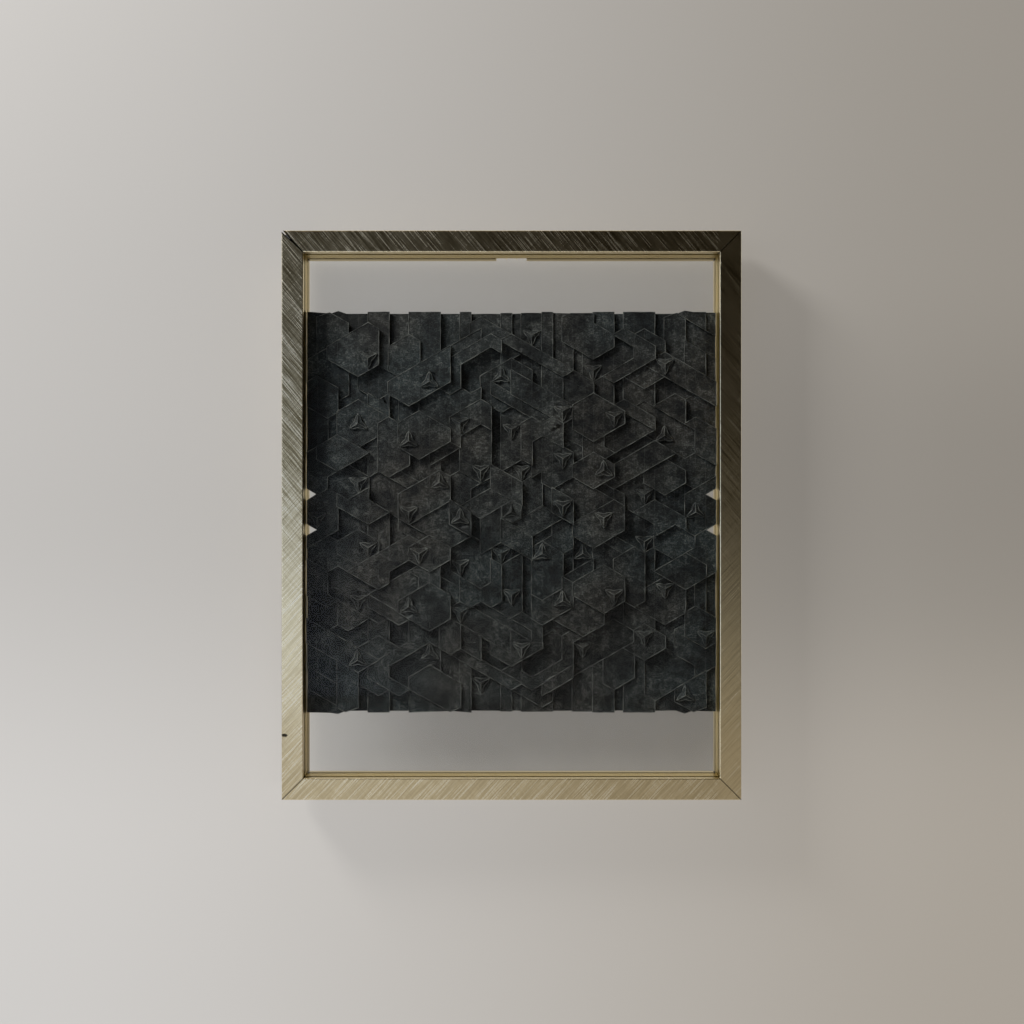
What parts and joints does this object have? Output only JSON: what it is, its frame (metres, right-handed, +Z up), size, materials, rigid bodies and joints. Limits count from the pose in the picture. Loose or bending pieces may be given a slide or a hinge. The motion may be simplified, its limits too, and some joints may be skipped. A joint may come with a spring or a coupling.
{
  "type": "framed origami tessellation",
  "caption": "Dark folded paper tessellation held between clear panes in a slim brushed brass-coloured metal frame that hangs or stands",
  "frame": {"origin": "middle of the underside of the frame's box, on the surface it stands on", "axes": "X is the width, +Y points to the back, +Z is up; the front faces -Y"},
  "size_m": [0.2132, 0.016, 0.264],
  "materials": {
    "brass_finish": "diagonally brushed, champagne brass colour",
    "spacer_finish": "satin brass colour",
    "key_steel": "plain zinc-grey",
    "pane_glass": "clear float glass",
    "dark_paper": "matt mottled slate"
  },
  "bodies": {
    "root": {"top_rail": "brass_finish", "bottom_rail": "brass_finish", "left_rail": "brass_finish", "right_rail": "brass_finish", "corner_key_top_left": "key_steel", "corner_key_top_right": "key_steel", "corner_key_bottom_left": "key_steel", "corner_key_bottom_right": "key_steel", "front_glass": "pane_glass", "rear_glass": "pane_glass", "spacer_top": "spacer_finish", "spacer_bottom": "spacer_finish", "spacer_left": "spacer_finish", "spacer_right": "spacer_finish", "folded_sheet": "dark_paper"}
  },
  "joints": []
}
